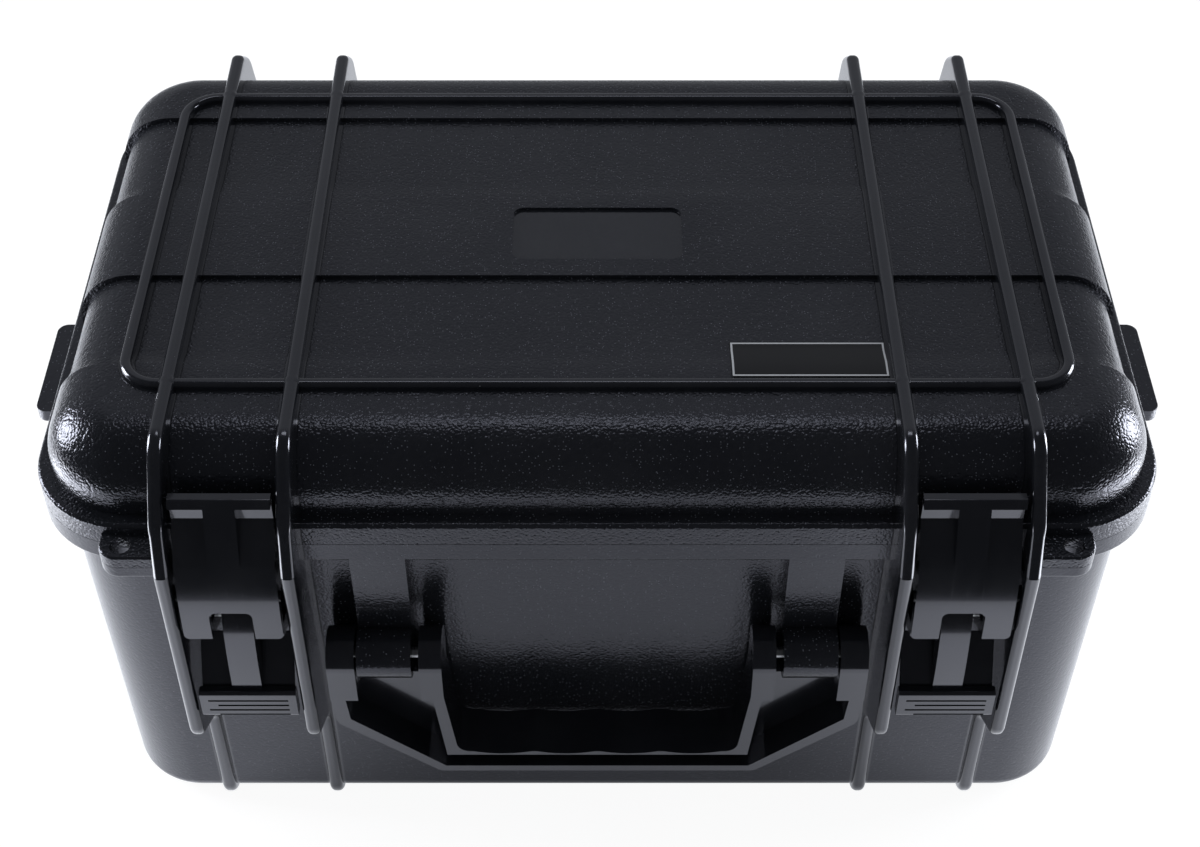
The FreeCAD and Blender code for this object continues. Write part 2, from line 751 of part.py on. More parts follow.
def make_lid_shell():
    body = new_body("lid_shell")
    walls = (size.wall_half_x, size.wall_half_y, size.wall_corner_radius, lid_bottom)
    shell_block(body, *walls, size.lid_top_height, size.lid_edge_radius)
    cut_band(body, "rear_band", size.rear_band_step_y, rear_ramp_y, size.rear_band_fade_y)
    cut_band(body, "front_band", -size.front_band_step_y, -front_ramp_y, -size.front_band_fade_y)
    flange(body, lid_bottom, size.lid_flange_height, False)

    recess_top = size.lid_top_height + size.overrun
    corners = rectangle(
        -size.recess_half_x, size.recess_half_x, -size.recess_front_y, size.recess_rear_y, size.recess_radius
    )
    pocket(
        body, outline(body, "recess", "XY_Plane", corners, recess_top), size.overrun + size.recess_depth
    )

    # Frame that stands on the top of the lid.
    frame_root = lid_ceiling + size.overrun / 2
    frame = new_sketch(body, "frame", "XY_Plane", frame_root)
    for offset in (size.frame_width / 2, -size.frame_width / 2):
        half_x = size.frame_half_x + offset
        front, rear = -(size.frame_front_y + offset), size.frame_rear_y + offset
        draw_outline(frame, rectangle(-half_x, half_x, front, rear, size.frame_corner_radius + offset))
    frame_top = size.lid_top_height + size.frame_rise
    pad(body, frame, frame_top - frame_root)
    round_edges(
        body,
        "frame_edges",
        size.frame_edge_radius,
        lambda edge: is_level_at(edge, frame_top),
    )

    # Ribs: a guard at the front, over the top, and a fin with a hinge ear at the back.
    ear_low = hinge_height - size.hinge_ear_radius
    ear_front = hinge_y - size.hinge_ear_radius
    ear_round = size.hinge_ear_radius - size.seal_clearance
    for name, place in rib_places:
        corners = [
            (-size.overall_half_depth, lid_bottom),
            (ear_front, lid_bottom),
            (ear_front, ear_low, ear_round),
            (size.overall_half_depth, ear_low, ear_round),
            (size.overall_half_depth, size.fin_foot_height, size.fin_bend_radius),
            (size.fin_shoulder_y, size.fin_shoulder_height, size.fin_shoulder_radius),
            (size.fin_crown_y, size.rib_top_height, size.fin_crown_radius),
            (-size.guard_crown_y, size.rib_top_height, size.guard_bend_radius),
            (-size.guard_shoulder_y, size.guard_shoulder_height, size.guard_bend_radius),
        ]
        pad(body, outline(body, f"{name}_rib", "YZ_Plane", corners, place), size.rib_width, both=True)

    def outer_run(edge):
        middle = edge.valueAt((edge.FirstParameter + edge.LastParameter) / 2)
        above = middle.z > size.lid_top_height.value + size.frame_rise.value + NEAR
        ahead = middle.y < -flange_half_y.value - NEAR and middle.z > lid_bottom.value + NEAR
        behind = middle.y > hinge_y.value - NEAR
        sloping = middle.z > size.fin_shoulder_height.value and middle.y > size.wall_half_y.value
        return above or ahead or behind or sloping

    round_rib_edges(body, "rib_edges", outer_run)
    hollow(body, *walls, lid_ceiling, inner_lid_radius)
    ring(body, "groove", lid_bottom, seal_offset, size.groove_width, size.groove_depth, cut=True, back=True)
    bay_reach = bay_width + 2 * size.rib_width + 2 * size.overrun
    ear_hole = size.hinge_pin_radius + size.pin_clearance
    drill(
        body,
        "ear_hole",
        [(sign * bay_x - bay_reach / 2, hinge_y, hinge_height, ear_hole) for sign in SIDES.values()],
        bay_reach,
    )
    return body


def make_pin(label, start, across, up, radius, length):
    """A plain steel pin along X."""
    pin = doc.addObject("Part::Cylinder", label)
    pin.Label = label
    pin.setExpression("Radius", radius.text)
    pin.setExpression("Height", length.text)
    pin.Placement.Rotation = FreeCAD.Rotation(FreeCAD.Vector(0, 1, 0), 90)
    for axis, place in (("x", start), ("y", across), ("z", up)):
        pin.setExpression(f"Placement.Base.{axis}", place.text)
    return pin


def make_lever(side, sign):
    """Pull lever: a knuckle on the guard pin, an arm through the hook and a ribbed finger tab."""
    body = new_body(f"{side}_latch_lever")
    place = sign * bay_x
    knuckle = new_sketch(body, "knuckle", "YZ_Plane", place)
    draw_circle(knuckle, -size.latch_pin_y, size.latch_pin_height, size.lever_knuckle_radius)
    pad(body, knuckle, size.hook_width, both=True)
    corners = [
        (-size.latch_pin_y, size.latch_pin_height + size.lever_knuckle_radius * size.boss_neck_share),
        (-size.lever_arm_top_y, size.latch_pin_height - size.lever_knuckle_radius),
        (-size.lever_arm_bend_y, size.lever_arm_bend_height, size.lever_arm_bend_radius),
        (-size.lever_arm_front_y, size.lever_tab_bottom_height + size.lever_tab_radius),
        (-size.lever_arm_heel_y, size.lever_tab_bottom_height + size.lever_tab_radius),
        (-size.lever_arm_heel_y, size.lever_tab_top_height),
        (-size.lever_arm_back_y, size.latch_pin_height - size.link_drop),
        (-size.lever_arm_back_y, size.latch_pin_height),
    ]
    pad(body, outline(body, "arm", "YZ_Plane", corners, place), size.lever_arm_width, both=True)
    corners = rectangle(
        -size.lever_tab_front_y,
        -size.lever_tab_back_y,
        size.lever_tab_bottom_height,
        size.lever_tab_top_height,
        size.lever_tab_radius,
    )
    pad(body, outline(body, "tab", "YZ_Plane", corners, place), size.lever_tab_width, both=True)
    first = size.lever_tab_top_height - size.grip_slot_first
    for index in range(GRIP_SLOT_COUNT):
        middle = first - size.grip_slot_pitch * index
        start = place - size.grip_slot_length / 2
        if index % 2:
            start = start + size.grip_slot_stagger
        corners = rectangle(
            start,
            place + size.grip_slot_length / 2,
            middle - size.grip_slot_height / 2,
            middle + size.grip_slot_height / 2,
        )
        level = size.lever_tab_front_y + size.overrun
        slot = outline(body, f"grip_slot_{index}", "XZ_Plane", corners, level)
        pocket(body, slot, size.overrun + size.grip_slot_depth)
    reach = size.hook_width + 2 * size.overrun
    start = place - reach / 2
    link_height = size.latch_pin_height - size.link_drop
    drill(
        body,
        "pin_hole",
        [
            (start, -size.latch_pin_y, size.latch_pin_height, size.latch_pin_radius + size.pin_clearance),
            (start, -size.latch_pin_y, link_height, size.link_pin_radius + size.pin_clearance),
        ],
        reach,
    )
    return body


def make_hook(side, sign):
    """Latch hook: a bowed cover plate that reaches over the flange, linked to the lever."""
    body = new_body(f"{side}_latch_hook")
    place = sign * bay_x
    plate_back = size.hook_front_y - size.hook_plate_thickness
    link_height = size.latch_pin_height - size.link_drop
    link_foot = link_height + size.lever_knuckle_radius
    corners = [
        (-size.hook_front_y, size.hook_bottom_height),
        (-plate_back, size.hook_bottom_height),
        (size.hook_back_lean - plate_back, size.hook_block_height),
        (-size.hook_back_y, size.hook_block_height + size.hook_plate_thickness),
        (-size.hook_back_y, size.hook_top_height),
        (-size.hook_top_y, size.hook_top_height, size.hook_top_radius),
        (-size.hook_bend_y, size.hook_bend_height, size.hook_bend_radius),
    ]
    pad(body, outline(body, "plate", "YZ_Plane", corners, place), size.hook_width, both=True)

    def lower_corner(edge):
        box = edge.BoundBox
        return is_level_at(edge, size.hook_bottom_height) and box.XLength < NEAR

    round_edges(body, "lower_corners", size.hook_corner_radius, lower_corner)
    leg_height = link_height - size.lever_knuckle_radius
    leg_root_y = plate_back + size.overrun / 2
    corners = [
        (-leg_root_y, size.hook_bottom_height),
        (-size.latch_pin_y, leg_height),
        (-size.latch_pin_y, link_foot),
        (-leg_root_y, size.hook_bottom_height + 2 * size.hook_plate_thickness),
    ]
    pad(body, outline(body, "leg", "YZ_Plane", corners, place), size.hook_width, both=True)
    boss = new_sketch(body, "boss", "YZ_Plane", place)
    draw_circle(boss, -size.latch_pin_y, link_height, size.lever_knuckle_radius)
    pad(body, boss, size.hook_width, both=True)
    notch_top = size.hook_bottom_height + size.hook_notch_height
    corners = rectangle(
        place - size.hook_notch_width / 2,
        place + size.hook_notch_width / 2,
        leg_height - size.overrun,
        notch_top,
    )
    corners[2] = corners[2] + (size.hook_notch_radius,)
    corners[3] = corners[3] + (size.hook_notch_radius,)
    level = size.hook_front_y + size.overrun
    notch_reach = level - size.latch_pin_y + size.lever_knuckle_radius + size.overrun
    pocket(body, outline(body, "notch", "XZ_Plane", corners, level), notch_reach)
    for index, half in enumerate((-1, 1)):
        near = place + half * size.hook_window_inset
        far = place + half * (size.hook_width / 2 + size.overrun)
        left, right = (near, far) if half > 0 else (far, near)
        # Beside the middle rib the plate is stepped back under its lip and slopes out to the bow.
        top = size.hook_top_height - size.hook_window_drop
        corners = [
            (-size.hook_window_floor_y, top),
            (-size.hook_window_floor_y, top - size.hook_window_height),
            (-size.hook_slope_y, size.hook_slope_height),
            (-level, size.hook_slope_height),
            (-level, top),
        ]
        window = outline(body, f"window_{index}", "YZ_Plane", corners, left)
        pocket(body, window, right - left, back=True)
    reach = size.hook_width + 2 * size.overrun
    link_hole = size.link_pin_radius + size.pin_clearance
    drill(body, "link_hole", [(place - reach / 2, -size.latch_pin_y, link_height, link_hole)], reach)
    return body


inner_eye_far = size.lug_x - size.lug_width / 2 - size.lug_inner_gap
inner_eye_near = inner_eye_far - size.inner_eye_width
outer_eye_near = size.lug_x + size.lug_width / 2 + size.lug_side_gap
outer_eye_far = outer_eye_near + size.outer_eye_width
handle_front_y = size.handle_pin_y + size.eye_radius
handle_back_y = handle_front_y - size.handle_depth


def make_handle():
    """Folding carrying handle: a ribbed loop with a scalloped grip and two eyes at each end."""
    body = new_body("handle")
    right = [
        (size.handle_foot_x, size.grip_bottom_height, size.handle_foot_radius),
        (size.handle_knee_x, size.handle_knee_height, size.handle_knee_radius),
        (outer_eye_far, size.handle_web_top_height),
        (inner_eye_near, size.handle_web_top_height),
        (size.grip_inner_x, size.grip_top_height, size.grip_corner_radius),
    ]
    left = [(-corner[0],) + corner[1:] for corner in reversed(right)]
    loop = outline(body, "loop", "XZ_Plane", right + left, handle_front_y)
    pad(body, loop, size.handle_depth, back=True)

    # Groove in the front, between the outer and the inner rim, open at the top between the eyes.
    knee_x = size.handle_knee_x - size.handle_outer_rim
    top_x = outer_eye_far - size.handle_outer_rim
    groove_top = size.handle_web_top_height + size.overrun
    groove_low = size.grip_bottom_height + size.grip_bottom_rim
    groove_high = size.grip_top_height - size.grip_top_rim
    right = [
        (size.handle_foot_x - size.grip_top_rim, groove_low),
        (knee_x, size.handle_knee_height + size.grip_top_rim),
        (top_x, groove_top),
        (inner_eye_near + size.handle_inner_rim, groove_top),
        (size.grip_inner_x + size.handle_inner_rim, groove_high),
    ]
    left = [(-corner[0],) + corner[1:] for corner in reversed(right)]
    level = handle_front_y + size.overrun
    groove = outline(body, "groove", "XZ_Plane", right + left, level)
    pocket(body, groove, size.overrun + size.handle_recess_depth)

    # Eyes on the handle pins, each on a short stem.
    stem_foot = size.handle_web_top_height - size.overrun
    for side, sign in SIDES.items():
        for name, near, far in (
            ("inner", inner_eye_near, inner_eye_far),
            ("outer", outer_eye_near, outer_eye_far),
        ):
            place = sign * (near + far) / 2
            corners = [
                (-handle_front_y, stem_foot),
                (-handle_back_y, stem_foot),
                (-(size.handle_pin_y - size.eye_radius), size.handle_pin_height),
                (-handle_front_y, size.handle_pin_height),
            ]
            stem = outline(body, f"{side}_{name}_stem", "YZ_Plane", corners, place)
            pad(body, stem, far - near, both=True)
            eye = new_sketch(body, f"{side}_{name}_eye", "YZ_Plane", place)
            draw_circle(eye, -size.handle_pin_y, size.handle_pin_height, size.eye_radius)
            pad(body, eye, far - near, both=True)

    # Finger scallops along the top of the grip.
    drop = (size.scallop_radius.value**2 - (size.scallop_width.value / 2) ** 2) ** 0.5
    for index in range(SCALLOP_COUNT):
        middle = size.scallop_pitch * (index - (SCALLOP_COUNT - 1) / 2)
        scallop = new_sketch(body, f"scallop_{index}", "XZ_Plane", level)
        left_x = middle - size.scallop_width / 2
        right_x = middle + size.scallop_width / 2
        centre = FreeCAD.Vector(middle.value, size.grip_top_height.value + drop, 0)
        half_angle = math.asin(size.scallop_width.value / 2 / size.scallop_radius.value)
        circle = Part.Circle(centre, FreeCAD.Vector(0, 0, 1), size.scallop_radius.value)
        down = -math.pi / 2
        arc = scallop.addGeometry(Part.ArcOfCircle(circle, down - half_angle, down + half_angle), False)
        ends = [FreeCAD.Vector(x.value, size.grip_top_height.value, 0) for x in (right_x, left_x)]
        chord = scallop.addGeometry(Part.LineSegment(*ends), False)
        constrain(scallop, "Coincident", arc, 2, chord, 1)
        constrain(scallop, "Coincident", chord, 2, arc, 1)
        tie_point(scallop, chord, 1, right_x, size.grip_top_height)
        tie_point(scallop, chord, 2, left_x, size.grip_top_height)
        tie(scallop, "Radius", size.scallop_radius, arc)
        pocket(body, scallop, size.handle_depth + 2 * size.overrun)

    eye_hole = size.handle_pin_radius + size.pin_clearance
    reach = outer_eye_far - inner_eye_near + 2 * size.overrun
    starts = [inner_eye_near - size.overrun, -(outer_eye_far + size.overrun)]
    drill(
        body,
        "eye_hole",
        [(start, -size.handle_pin_y, size.handle_pin_height, eye_hole) for start in starts],
        reach,
    )
    return body


foam_inset = size.shell_wall + size.foam_clearance
base_lean = (size.parting_height - floor_top) * size.wall_lean_share
foam_half_x = base_half_x - base_lean - foam_inset
foam_half_y = base_half_y - base_lean - foam_inset
foam_corner = base_corner - foam_inset
foam_pad_top = floor_top + size.foam_pad_thickness


slot_half_length = size.foam_slot_length / 2
slot_reach = size.foam_slot_pitch * (SLOT_COUNT - 1) / 2 + size.foam_slot_width / 2
foam_block_height = size.parting_height - size.foam_top_drop - foam_pad_top


def make_foam_divider(index):
    """One upright strip of foam between two slots, glued to both rails."""
    body = new_body(f"foam_divider_{index + 1}")
    middle = size.foam_slot_pitch * (index - (SLOT_COUNT - 2) / 2)
    half = (size.foam_slot_pitch - size.foam_slot_width) / 2
    corners = rectangle(middle - half, middle + half, -slot_half_length, slot_half_length)
    pad(body, outline(body, "strip", "XY_Plane", corners, foam_pad_top), foam_block_height)
    return body


def make_foam_rail(label, sign):
    """A long strip of foam that closes the slots at the front or the back."""
    body = new_body(label)
    near, far = sign * slot_half_length, sign * foam_half_y
    shy = far - sign * size.foam_rail_drop
    run = slot_reach - size.foam_rail_run
    corners = [
        (-slot_reach, near), (slot_reach, near), (slot_reach, shy), (run, far), (-run, far), (-slot_reach, shy),
    ]
    corners = corners if sign > 0 else corners[::-1]
    pad(body, outline(body, "rail", "XY_Plane", corners, foam_pad_top), foam_block_height)
    return body


def make_foam_end(side, sign):
    """The foam between the last slot and the end of the case, with the moulding's round corners."""
    body = new_body(f"foam_end_{side}")
    corners = centred_rectangle(foam_half_x, foam_half_y, foam_corner)
    pad(body, outline(body, "block", "XY_Plane", corners, foam_pad_top), foam_block_height)
    inner, outer = sign * slot_reach, -sign * (foam_half_x + size.overrun)
    left, right = (outer, inner) if sign > 0 else (inner, outer)
    reach_y = foam_half_y + size.overrun
    corners = rectangle(left, right, -reach_y, reach_y)
    top = foam_pad_top + foam_block_height
    pocket(body, outline(body, "trim", "XY_Plane", corners, top), foam_block_height)
    return body


def make_base_foam_pad():
    """Plain sheet on the floor of the base, with its lower edge rounded to the moulding."""
    body = new_body("base_foam_pad")
    corners = centred_rectangle(foam_half_x, foam_half_y, foam_corner)
    pad(body, outline(body, "sheet", "XY_Plane", corners, floor_top), size.foam_pad_thickness)
    round_edges(
        body,
        "lower_edge",
        inner_bottom_radius + size.foam_clearance,
        lambda edge: is_level_at(edge, floor_top),
    )
    return body


def make_lid_foam():
    """Thick pad glued under the lid, with its upper edge rounded to the moulding."""
    body = new_body("lid_foam")
    shrink = (lid_ceiling - lid_bottom) * size.wall_lean_share + foam_inset
    corner = size.wall_corner_radius - foam_inset
    corners = centred_rectangle(size.wall_half_x - shrink, size.wall_half_y - shrink, corner)
    foam = outline(body, "pad", "XY_Plane", corners, lid_ceiling)
    pad(body, foam, size.lid_foam_thickness, back=True)
    round_edges(
        body,
        "upper_edge",
        inner_lid_radius + size.foam_clearance,
        lambda edge: is_level_at(edge, lid_ceiling),
    )
    return body


def make_seal():
    """Rubber cord pressed into the lid's groove; the base's tongue closes on it."""
    body = new_body("lid_seal")
    width = size.groove_width - 2 * size.seal_clearance
    height = size.groove_depth + size.lid_gap - size.tongue_height - size.seal_clearance
    ring(body, "cord", lid_bottom + size.groove_depth, seal_offset, width, height, back=True)
    return body


def make_name_plate():
    """Blank adhesive plate that follows the lid's surface over the soft edge of the front band."""
    body = new_body("name_plate")
    top = size.lid_top_height + size.plate_glue
    sunk = top - size.band_depth
    under = [
        (-size.plate_front_y, top),
        (-size.front_band_fade_y, top),
        (-front_ramp_y, sunk),
        (-size.plate_rear_y, sunk),
    ]
    over = [(across, up + size.plate_thickness) for across, up in reversed(under)]
    middle = (size.plate_left_x + size.plate_right_x) / 2
    plate = outline(body, "plate", "YZ_Plane", under + over, middle)
    pad(body, plate, size.plate_right_x - size.plate_left_x, both=True)
    return body


pieces = [
    make_base_shell(),
    make_lid_shell(),
    make_foam_rail("foam_rail_front", -1),
    make_foam_rail("foam_rail_rear", 1),
    make_base_foam_pad(),
    make_lid_foam(),
    make_seal(),
    make_name_plate(),
    make_handle(),
]
pieces += [make_foam_end(side, sign) for side, sign in SIDES.items()]
for side, sign in SIDES.items():
    pieces.append(make_padlock_tab(f"{side}_base_tab", sign, size.parting_height, True))
    pieces.append(make_padlock_tab(f"{side}_lid_tab", sign, lid_bottom, False))
pieces += [make_foam_divider(index) for index in range(SLOT_COUNT - 1)]
hinge_pin_length = bay_width + 2 * size.rib_width
handle_pin_length = outer_eye_far - inner_eye_near - 2 * size.handle_pin_inset
link_pin_length = size.hook_width - 2 * size.link_pin_inset
for side, sign in SIDES.items():
    middle = sign * bay_x
    eye_middle = sign * (outer_eye_far + inner_eye_near) / 2
    pieces += [
        make_lever(side, sign),
        make_hook(side, sign),
        make_pin(
            f"{side}_hinge_pin",
            middle - hinge_pin_length / 2,
            hinge_y,
            hinge_height,
            size.hinge_pin_radius,
            hinge_pin_length,
        ),
        make_pin(
            f"{side}_latch_pin",
            middle - hinge_pin_length / 2,
            -size.latch_pin_y,
            size.latch_pin_height,
            size.latch_pin_radius,
            hinge_pin_length,
        ),
        make_pin(
            f"{side}_link_pin",
            middle - link_pin_length / 2,
            -size.latch_pin_y,
            size.latch_pin_height - size.link_drop,
            size.link_pin_radius,
            link_pin_length,
        ),
        make_pin(
            f"{side}_handle_pin",
            eye_middle - handle_pin_length / 2,
            -size.handle_pin_y,
            size.handle_pin_height,
            size.handle_pin_radius,
            handle_pin_length,
        ),
    ]
doc.recompute()

for item in doc.Objects:
    if "Invalid" in item.State or "Error" in item.State:
        raise RuntimeError(f"{item.Label} failed: {item.State}")
for piece in pieces:
    if piece.Shape.isNull() or not piece.Shape.isValid():
        raise RuntimeError(f"{piece.Label} has no valid shape")

os.makedirs("parts", exist_ok=True)
for piece in pieces:
    piece.Shape.exportStep(f"parts/{piece.Label}.step")
    print(f"{piece.Label}: {len(piece.Shape.Solids)} solid, {piece.Shape.Volume / 1000:.1f} cm3")
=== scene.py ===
import math

import bmesh
import bpy
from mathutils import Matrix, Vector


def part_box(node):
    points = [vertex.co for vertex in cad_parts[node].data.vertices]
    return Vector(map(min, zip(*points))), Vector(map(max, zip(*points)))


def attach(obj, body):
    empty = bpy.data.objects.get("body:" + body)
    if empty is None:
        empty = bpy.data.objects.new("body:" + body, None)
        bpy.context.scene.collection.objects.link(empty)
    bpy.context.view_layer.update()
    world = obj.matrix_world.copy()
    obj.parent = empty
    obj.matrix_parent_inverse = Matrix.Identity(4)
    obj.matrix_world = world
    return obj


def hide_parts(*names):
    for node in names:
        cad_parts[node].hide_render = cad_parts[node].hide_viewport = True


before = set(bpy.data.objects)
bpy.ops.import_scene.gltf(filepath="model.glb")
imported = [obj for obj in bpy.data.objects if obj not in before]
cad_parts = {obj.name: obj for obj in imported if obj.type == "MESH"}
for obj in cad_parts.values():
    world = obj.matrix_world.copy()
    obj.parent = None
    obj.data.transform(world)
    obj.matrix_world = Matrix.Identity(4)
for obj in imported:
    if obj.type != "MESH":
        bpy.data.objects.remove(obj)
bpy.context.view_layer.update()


# Base shell: a deep tub of black polypropylene, injection moulded in one shot with its flange, latch guards,
# skids, handle lugs and tabs. The tool is etched to a fine pebble, and left polished along the ribs.
RIB_PLACES = (0.150, 0.1064)
RIB_REACH = 0.0034
RIB_BLEND = 0.0006
BASE_PEBBLE = 0.0011
BASE_RELIEF = 0.00007
SHELL_BLACK = (0.0060, 0.0066, 0.0082, 1)
SHELL_WORN = (0.0125, 0.0131, 0.0150, 1)
# Painted highlight: the pale grey of the specks that stand in for glints on the pebbles.
PAINTED_GLINT_GREY = (0.074, 0.078, 0.087, 1)
DUST_GREY = (0.16, 0.165, 0.17, 1)
GLOSS_BLUE = (0.86, 0.87, 1.0, 1)
SWIRL_SIZE = 2.2
SWIRL_REACH = 1.1
PEBBLE_MERGE = 0.55
RIB_FLATNESS = 0.97
WEAR_PATCH = 0.045
WEAR_EDGES = (0.25, 0.75)
DUST_SPACING = 0.0045
DUST_SHARE = 0.18
DUST_RADIUS = 0.045
GLINT_SPACING = 1.15
GLINT_SHARE = 0.6
GLINT_RADIUS = 0.24
ETCHED_ROUGHNESS = (0.17, 0.25)
POLISHED_ROUGHNESS = (0.12, 0.19)
RIB_COAT = 0.6
WELD_REACH = 2e-6
SHARP_ANGLE = 38.0


class Read:
    """A socket in a node tree. Sums and products of it add Math nodes to that tree."""

    def __init__(self, tree, socket=None):
        self.tree = tree
        self.socket = socket

    def node(self, kind, settings=None, sockets=None, output=0):
        """Adds any node: its settings are set first, then the values or links of its sockets."""
        made = self.tree.nodes.new(kind)
        for name, value in (settings or {}).items():
            setattr(made, name, value)
        for name, value in (sockets or {}).items():
            if isinstance(value, Read):
                self.tree.links.new(value.socket, made.inputs[name])
            else:
                made.inputs[name].default_value = value
        return Read(self.tree, made.outputs[output]) if made.outputs else None

    def other(self, output):
        """Another output of the node that this socket belongs to."""
        return Read(self.tree, self.socket.node.outputs[output])

    def math(self, operation, *values):
        return self.node("ShaderNodeMath", {"operation": operation}, dict(enumerate(values)))

    def __add__(self, value):
        return self.math("ADD", self, value)

    __radd__ = __add__

    def __sub__(self, value):
        return self.math("SUBTRACT", self, value)

    def __rsub__(self, value):
        return self.math("SUBTRACT", value, self)

    def __mul__(self, value):
        return self.math("MULTIPLY", self, value)

    __rmul__ = __mul__

    def __truediv__(self, value):
        return self.math("DIVIDE", self, value)

    def __rtruediv__(self, value):
        return self.math("DIVIDE", value, self)

    def __abs__(self):
        return self.math("ABSOLUTE", self)

    def least(self, value):
        return self.math("MINIMUM", self, value)

    def most(self, value):
        return self.math("MAXIMUM", self, value)

    def rise(self, low, high):
        """0 below low, 1 above high and smooth between."""
        ends = {"Value": self, "From Min": low, "From Max": high}
        return self.node("ShaderNodeMapRange", {"interpolation_type": "SMOOTHSTEP"}, ends)

    def between(self, ends):
        """The first of two numbers where this is 0, the second where it is 1."""
        return ends[0] + (ends[1] - ends[0]) * self

    def tint(self, low, high):
        """A colour that goes from low to high as this goes from 0 to 1."""
        return self.node("ShaderNodeMix", {"data_type": "RGBA"}, {0: self, 6: low, 7: high}, 2)


def new_finish(name):
    """A bare material, and the place on the piece that its nodes read."""
    finish = bpy.data.materials.new(name)
    finish.use_nodes = True
    finish.node_tree.nodes.clear()
    place = Read(finish.node_tree).node("ShaderNodeTexCoord", output="Object")
    return finish, place


def close_finish(place, sockets):
    """Sets the surface from the Principled sockets that are given."""
    shader = place.node("ShaderNodeBsdfPrincipled", {}, sockets)
    place.node("ShaderNodeOutputMaterial", {}, {"Surface": shader})


def cloud(place, size, detail=3.0):
    """Soft noise from 0 to 1, with patches of about that size in metres."""
    return place.node("ShaderNodeTexNoise", {}, {"Vector": place, "Scale": 1 / size, "Detail": detail})


def dust_and_glint_specks(place, spacing, share, radius):
    """1 on sparse specks: one in a share of the cells, each of that radius in cells."""
    cell = place.node("ShaderNodeTexVoronoi", {}, {"Vector": place, "Scale": 1 / spacing})
    chosen = cell.other("Color").node("ShaderNodeSeparateColor", {}, {"Color": cell.other("Color")})
    return (1 - cell.rise(0.5 * radius, radius)) * chosen.rise(1 - share, 1 - 0.8 * share)


def pebbled_finish(name, pebble, relief, polished):
    """Black moulded plastic, etched to rounded pebbles except where polished gives 1, with painted glints on
    the pebbles.
    """
    finish, place = new_finish(name)
    axes = place.node("ShaderNodeSeparateXYZ", {}, {"Vector": place})
    smooth = polished(axes, axes.other(1), axes.other(2))
    swirl = cloud(place, SWIRL_SIZE * pebble, 1.0)
    drift = place.node("ShaderNodeVectorMath", {"operation": "SCALE"}, {
        0: swirl.other("Color"), "Scale": SWIRL_REACH * pebble})
    bent = place.node("ShaderNodeVectorMath", {}, {0: place, 1: drift})
    cells = {"Vector": bent, "Scale": 1 / pebble, "Smoothness": PEBBLE_MERGE}
    cell = place.node("ShaderNodeTexVoronoi", {"feature": "SMOOTH_F1"}, cells)
    height = (1 - cell * cell) * (0.75 + 0.5 * swirl) * (1 - RIB_FLATNESS * smooth)
    bump = {"Strength": 1.0, "Distance": relief, "Height": height}
    patch = cloud(place, WEAR_PATCH)
    speck = dust_and_glint_specks(place, DUST_SPACING, DUST_SHARE, DUST_RADIUS)
    # Painted highlight: sparse pale specks, off the polished parts, that stand in for the pebbles' glints.
    glint = dust_and_glint_specks(place, GLINT_SPACING * pebble, GLINT_SHARE, GLINT_RADIUS) * (1 - smooth)
    black = (patch * 0.6 + 0.25 * swirl).rise(*WEAR_EDGES).tint(SHELL_BLACK, SHELL_WORN)
    etched, gloss = patch.between(ETCHED_ROUGHNESS), patch.between(POLISHED_ROUGHNESS)
    close_finish(place, {
        "Base Color": speck.tint(glint.tint(black, PAINTED_GLINT_GREY), DUST_GREY),
        "Roughness": etched * (1 - smooth) + gloss * smooth,
        "IOR": 1.56,
        "Specular Tint": GLOSS_BLUE,
        "Coat Weight": RIB_COAT * smooth,
        "Coat Roughness": 0.07,
        "Normal": place.node("ShaderNodeBump", {}, bump),
    })
    return finish


def on_ribs(x):
    """1 along the four polished ribs that run round both shells."""
    across = abs(x)
    near = abs(across - RIB_PLACES[0]).least(abs(across - RIB_PLACES[1]))
    return 1 - near.rise(RIB_REACH, RIB_REACH + RIB_BLEND)


def moulded(node, body, finish, sharp=SHARP_ANGLE):
    """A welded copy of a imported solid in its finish, with the shading carried over its rounded edges."""
    skin = bmesh.new()
    skin.from_mesh(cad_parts[node].data)
    bmesh.ops.remove_doubles(skin, verts=skin.verts, dist=WELD_REACH)
    for face in skin.faces:
        face.smooth = True
        face.material_index = 0
    for edge in skin.edges:
        edge.smooth = len(edge.link_faces) == 2 and edge.calc_face_angle() < math.radians(sharp)
    mesh = bpy.data.meshes.new(node + "_skin")
    skin.to_mesh(mesh)
    skin.free()
    if "custom_normal" in mesh.attributes:
        mesh.attributes.remove(mesh.attributes["custom_normal"])
    mesh.materials.append(finish)
    piece = bpy.data.objects.new(node + "_skin", mesh)
    bpy.context.scene.collection.objects.link(piece)
    shading = piece.modifiers.new("flat_faces_lead", "WEIGHTED_NORMAL")
    shading.mode = "FACE_AREA_WITH_ANGLE"
    shading.keep_sharp = True
    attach(piece, body)
    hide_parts(node)


base_finish = pebbled_finish("fine_pebbled_black", BASE_PEBBLE, BASE_RELIEF, lambda x, y, z: on_ribs(x))
moulded("base_shell", "base", base_finish)
for side in ("left", "right"):
    moulded(f"{side}_base_tab", "base", base_finish)


# Foam in the base: a block of closed-cell polyethylene with six slots punched through it, laid on a thin sheet
# of the same foam. Both are die cut, so their edges are slightly rounded and their faces show small open cells.
# The darker grey is the foam's darker tone, and also painted shade in the hollows of the open cells.
FOAM_GREY_AND_PIT_SHADE = (0.021, 0.0215, 0.023, 1)
FOAM_RIM_GREY = (0.046, 0.047, 0.050, 1)
FOAM_CELL = 0.0011
SLOT_SIZE = (0.040, 0.178)
SLOT_PITCH = 0.060
SLOT_COUNT = 6
SLOT_CORNER = 0.006
BLOCK_CORNER = 0.0237
CUT_ROUND = 0.0012
CUT_ANGLE = 40.0
CUT_WELD = 1e-5
CORNER_STEPS = 6
SHEET_INSET = 0.004

